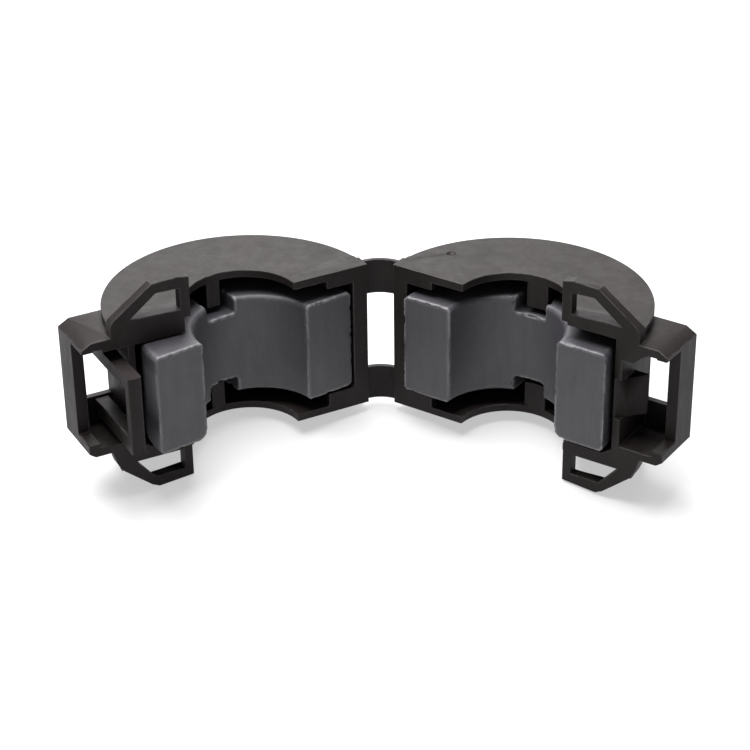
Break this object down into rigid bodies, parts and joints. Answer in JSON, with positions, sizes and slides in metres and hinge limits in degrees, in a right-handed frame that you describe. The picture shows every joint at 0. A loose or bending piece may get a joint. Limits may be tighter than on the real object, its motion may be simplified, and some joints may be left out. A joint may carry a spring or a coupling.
{
  "type": "clip-on ferrite bead",
  "caption": "Split ferrite ring in a black hinged plastic case, lying open in a V, with a snap latch and cable-tie loops at its free ends.",
  "frame": {"origin": "middle of the left half's cable passage, where the axis of the cable crosses mid-height of the case", "axes": "+Z along the cable, towards the upper end plates; +X from the left half to the right half along the open clip; the V opens towards -Y and the hinge is on its +Y side"},
  "size_m": [0.0671, 0.0266, 0.0246],
  "materials": {
    "nylon": "black moulded nylon with a faint sheen",
    "ferrite": "sintered, slate grey, matt, with paler worn edges"
  },
  "bodies": {
    "left_half": {"case_half_left": "nylon", "latch_loop": "nylon", "hinge_strap_upper": "nylon", "hinge_strap_lower": "nylon"},
    "right_half": {"case_half_right": "nylon"},
    "core_left": {"ferrite_half_left": "ferrite"},
    "core_right": {"ferrite_half_right": "ferrite"}
  },
  "joints": [
    {"name": "hinge", "type": "hinge", "parent": "left_half", "child": "right_half", "pos_m": [0.01428, 0.00865, 0], "axis": [0, 0, -1], "range_deg": [-62.4, 117.6], "deforming": ["hinge_strap_upper", "hinge_strap_lower", "latch_loop"]},
    {"name": "left_core_seat", "type": "hinge", "parent": "left_half", "child": "core_left", "pos_m": [0.01109, 0.00678, 0], "axis": [0, 0, -1], "range_deg": [-4.32, 8.12]},
    {"name": "right_core_seat", "type": "slide", "parent": "right_half", "child": "core_right", "axis": [0.518, 0.8554, 0], "range_m": [-0.00058, 0.00107]}
  ],
  "couplings": [
    {"joint": "left_core_seat", "follows": "hinge", "ratio": 0.068878},
    {"joint": "right_core_seat", "follows": "hinge", "m_per_rad": 0.00052131}
  ]
}
